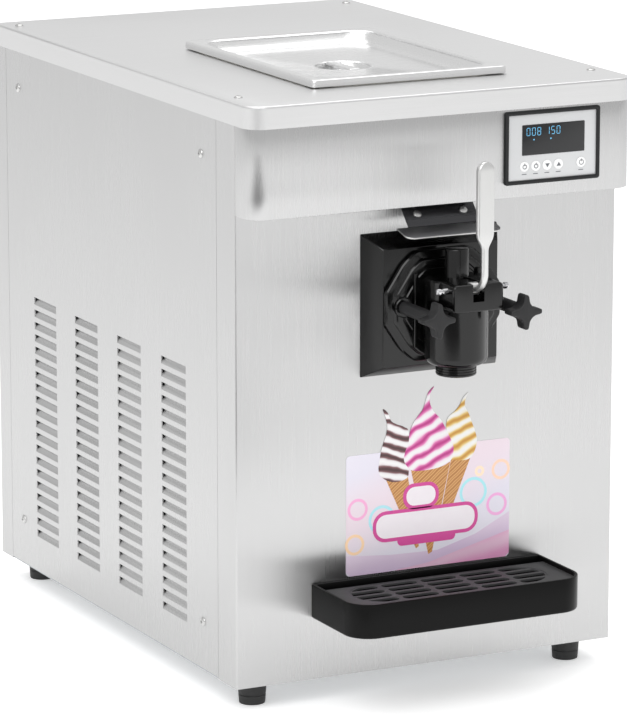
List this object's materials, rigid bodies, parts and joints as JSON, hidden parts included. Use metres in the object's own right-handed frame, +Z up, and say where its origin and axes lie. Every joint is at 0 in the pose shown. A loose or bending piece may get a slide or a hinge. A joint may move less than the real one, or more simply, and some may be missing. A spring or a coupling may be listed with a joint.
{
  "type": "soft serve machine",
  "caption": "Countertop soft serve machine: steel cabinet with louvred sides, lidded hopper, lever valve head with star knobs, drip tray and keypad display.",
  "frame": {"origin": "on the standing surface, under the middle of the overall box", "axes": "+Z up, the front with the dispensing head faces -Y, +X to the right from the front"},
  "size_m": [0.4044, 0.688, 0.585],
  "materials": {
    "stainless": "brushed stainless sheet",
    "lid_steel": "pressed stainless, satin",
    "galvanised": "zinc-coated sheet",
    "screw_steel": "bright stainless",
    "dark_steel": "mirror-bright sheet, dark reflections",
    "foot_rubber": "matte black rubber",
    "label_film": "printed vinyl film",
    "bezel_plastic": "satin black plastic",
    "faceplate_silver": "silver printed film",
    "display_black": "smoked display window",
    "board_green": "solder mask",
    "button_white": "soft white keys",
    "surround_plastic": "satin black moulding",
    "head_plastic": "glossy black moulding",
    "knob_plastic": "matte black moulding",
    "seal_rubber": "silicone rubber",
    "lever_satin": "satin cast metal",
    "pin_chrome": "polished steel",
    "tray_plastic": "satin black moulding",
    "grille_plastic": "matte dark grey moulding",
    "gasket_white": "food-grade silicone",
    "barrel_steel": "food-grade stainless",
    "copper": "drawn copper",
    "foam": "rigid foam",
    "blade_plastic": "white scraper plastic",
    "cast_grey": "grey enamel on castings",
    "pulley_metal": "cast aluminium",
    "belt_rubber": "ribbed rubber",
    "black_enamel": "black enamel",
    "fin_aluminium": "mill-finish sheet",
    "gland_black": "black nylon"
  },
  "bodies": {
    "cabinet": {"front_panel": "stainless", "left_panel": "stainless", "right_panel": "stainless", "rear_panel": "stainless", "top_cover": "stainless", "hood": "stainless", "hopper": "lid_steel", "base_pan": "galvanised", "corner_posts": "galvanised", "bulkhead": "galvanised", "side_screws": "screw_steel", "cover_screws": "screw_steel", "canopy_screws": "screw_steel", "canopy": "dark_steel", "feet": "foot_rubber", "picture_label": "label_film", "control_bezel": "bezel_plastic", "control_faceplate": "faceplate_silver", "display_window": "display_black", "control_board": "board_green", "head_surround": "surround_plastic", "dispensing_head": "head_plastic", "head_gasket": "seal_rubber", "shaft_seal": "seal_rubber", "pivot_pin": "pin_chrome", "head_studs": "pin_chrome", "freezing_cylinder": "barrel_steel", "evaporator": "copper", "refrigerant_line": "copper", "insulation": "foam", "gearbox": "cast_grey", "drive_motor": "cast_grey", "drive_belt": "belt_rubber", "compressor": "black_enamel", "fan_motor": "black_enamel", "condenser": "fin_aluminium", "electrical_box": "fin_aluminium", "cable_gland": "gland_black"},
    "lever": {"lever": "lever_satin"},
    "plunger": {"plunger": "head_plastic", "plunger_rings": "seal_rubber"},
    "knob_left": {"knob_left": "knob_plastic"},
    "knob_right": {"knob_right": "knob_plastic"},
    "nozzle": {"nozzle_cap": "head_plastic"},
    "tray": {"drip_tray": "tray_plastic"},
    "grille": {"drip_grille": "grille_plastic"},
    "lid": {"hopper_lid": "lid_steel", "lid_handle": "lid_steel", "lid_gasket": "gasket_white"},
    "feed_tube": {"feed_tube": "gasket_white"},
    "button_mix": {"button_mix": "button_white"},
    "button_wash": {"button_wash": "button_white"},
    "button_down": {"button_down": "button_white"},
    "button_up": {"button_up": "button_white"},
    "button_power": {"button_power": "button_white"},
    "beater": {"beater_shaft": "barrel_steel", "beater_blade": "blade_plastic"},
    "pulley": {"large_pulley": "pulley_metal"},
    "rotor": {"small_pulley": "pulley_metal"},
    "fan": {"fan_blade": "pulley_metal"}
  },
  "joints": [
    {"name": "lever_pivot", "type": "hinge", "parent": "cabinet", "child": "lever", "pos_m": [0, -0.317, 0.4024], "axis": [1, 0, 0], "range_deg": [0, 30]},
    {"name": "plunger_lift", "type": "slide", "parent": "cabinet", "child": "plunger", "axis": [0, 0, 1], "range_m": [0, 0.0105]},
    {"name": "knob_left_turn", "type": "hinge", "parent": "cabinet", "child": "knob_left", "pos_m": [-0.045, -0.322, 0.38], "axis": [0, 1, 0], "continuous": true},
    {"name": "knob_right_turn", "type": "hinge", "parent": "cabinet", "child": "knob_right", "pos_m": [0.045, -0.322, 0.38], "axis": [0, 1, 0], "continuous": true},
    {"name": "nozzle_turn", "type": "hinge", "parent": "cabinet", "child": "nozzle", "pos_m": [0, -0.287, 0.319], "axis": [0, 0, 1], "continuous": true},
    {"name": "tray_slide", "type": "slide", "parent": "cabinet", "child": "tray", "axis": [0, -1, 0], "range_m": [0, 0.12]},
    {"name": "grille_lift", "type": "slide", "parent": "tray", "child": "grille", "axis": [0, 0, 1], "range_m": [0, 0.08]},
    {"name": "lid_lift", "type": "slide", "parent": "cabinet", "child": "lid", "axis": [0, 0, 1], "range_m": [0, 0.15]},
    {"name": "feed_tube_turn", "type": "hinge", "parent": "cabinet", "child": "feed_tube", "pos_m": [0, 0.018, 0.474], "axis": [0, 0, 1], "range_deg": [0, 90]},
    {"name": "button_mix_press", "type": "slide", "parent": "cabinet", "child": "button_mix", "axis": [0, 1, 0], "range_m": [0, 0.0008], "stiffness_N_per_m": 600, "springref_m": -0.0005},
    {"name": "button_wash_press", "type": "slide", "parent": "cabinet", "child": "button_wash", "axis": [0, 1, 0], "range_m": [0, 0.0008], "stiffness_N_per_m": 600, "springref_m": -0.0005},
    {"name": "button_down_press", "type": "slide", "parent": "cabinet", "child": "button_down", "axis": [0, 1, 0], "range_m": [0, 0.0008], "stiffness_N_per_m": 600, "springref_m": -0.0005},
    {"name": "button_up_press", "type": "slide", "parent": "cabinet", "child": "button_up", "axis": [0, 1, 0], "range_m": [0, 0.0008], "stiffness_N_per_m": 600, "springref_m": -0.0005},
    {"name": "button_power_press", "type": "slide", "parent": "cabinet", "child": "button_power", "axis": [0, 1, 0], "range_m": [0, 0.0008], "stiffness_N_per_m": 600, "springref_m": -0.0005},
    {"name": "beater_spin", "type": "hinge", "parent": "cabinet", "child": "beater", "pos_m": [0, -0.032, 0.378], "axis": [0, 1, 0], "continuous": true},
    {"name": "pulley_spin", "type": "hinge", "parent": "cabinet", "child": "pulley", "pos_m": [0, 0.158, 0.378], "axis": [0, 1, 0], "continuous": true},
    {"name": "motor_spin", "type": "hinge", "parent": "cabinet", "child": "rotor", "pos_m": [0.035, 0.158, 0.134], "axis": [0, 1, 0], "continuous": true},
    {"name": "fan_spin", "type": "hinge", "parent": "cabinet", "child": "fan", "pos_m": [-0.13, -0.057, 0.174], "axis": [1, 0, 0], "continuous": true}
  ],
  "couplings": [
    {"joint": "plunger_lift", "follows": "lever_pivot", "m_per_rad": 0.0195},
    {"joint": "pulley_spin", "follows": "beater_spin", "ratio": 4},
    {"joint": "motor_spin", "follows": "beater_spin", "ratio": 12.727}
  ]
}
